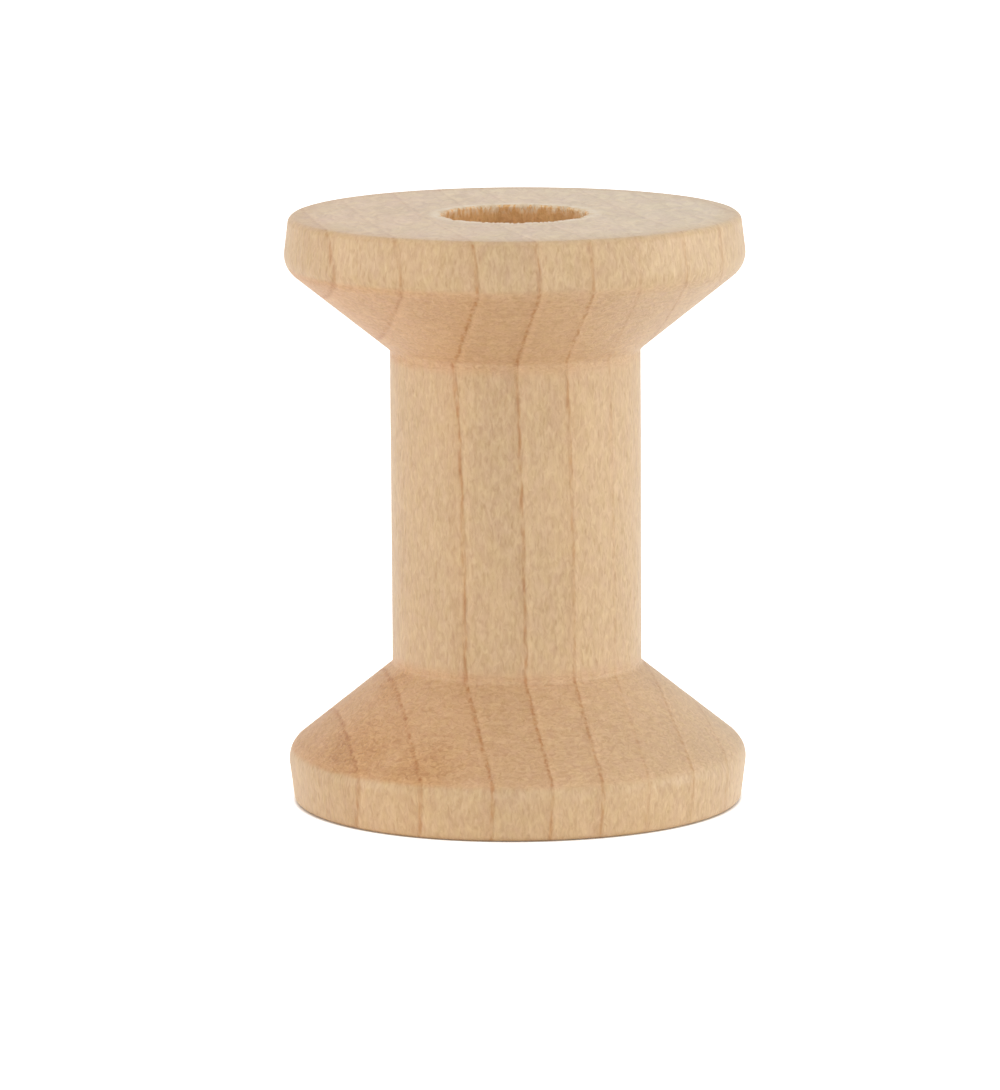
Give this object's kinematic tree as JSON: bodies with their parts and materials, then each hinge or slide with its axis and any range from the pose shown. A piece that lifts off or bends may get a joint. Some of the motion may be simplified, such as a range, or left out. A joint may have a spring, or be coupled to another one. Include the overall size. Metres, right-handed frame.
{
  "type": "wooden thread spool",
  "caption": "Bare turned wooden spool: a straight barrel between wide flanges with cone-shaped inner faces, drilled through for a spindle.",
  "frame": {"origin": "centre of the foot face, on the axis of the bore", "axes": "+Z along the bore from the foot face to the top face, +X and +Y across it; the spool stands upright on its foot face and the wood's growth rings face +X"},
  "size_m": [0.0222, 0.0222, 0.0286],
  "materials": {
    "turned_wood": "sanded bare hardwood, matte"
  },
  "bodies": {
    "root": {"spool_body": "turned_wood"}
  },
  "joints": []
}
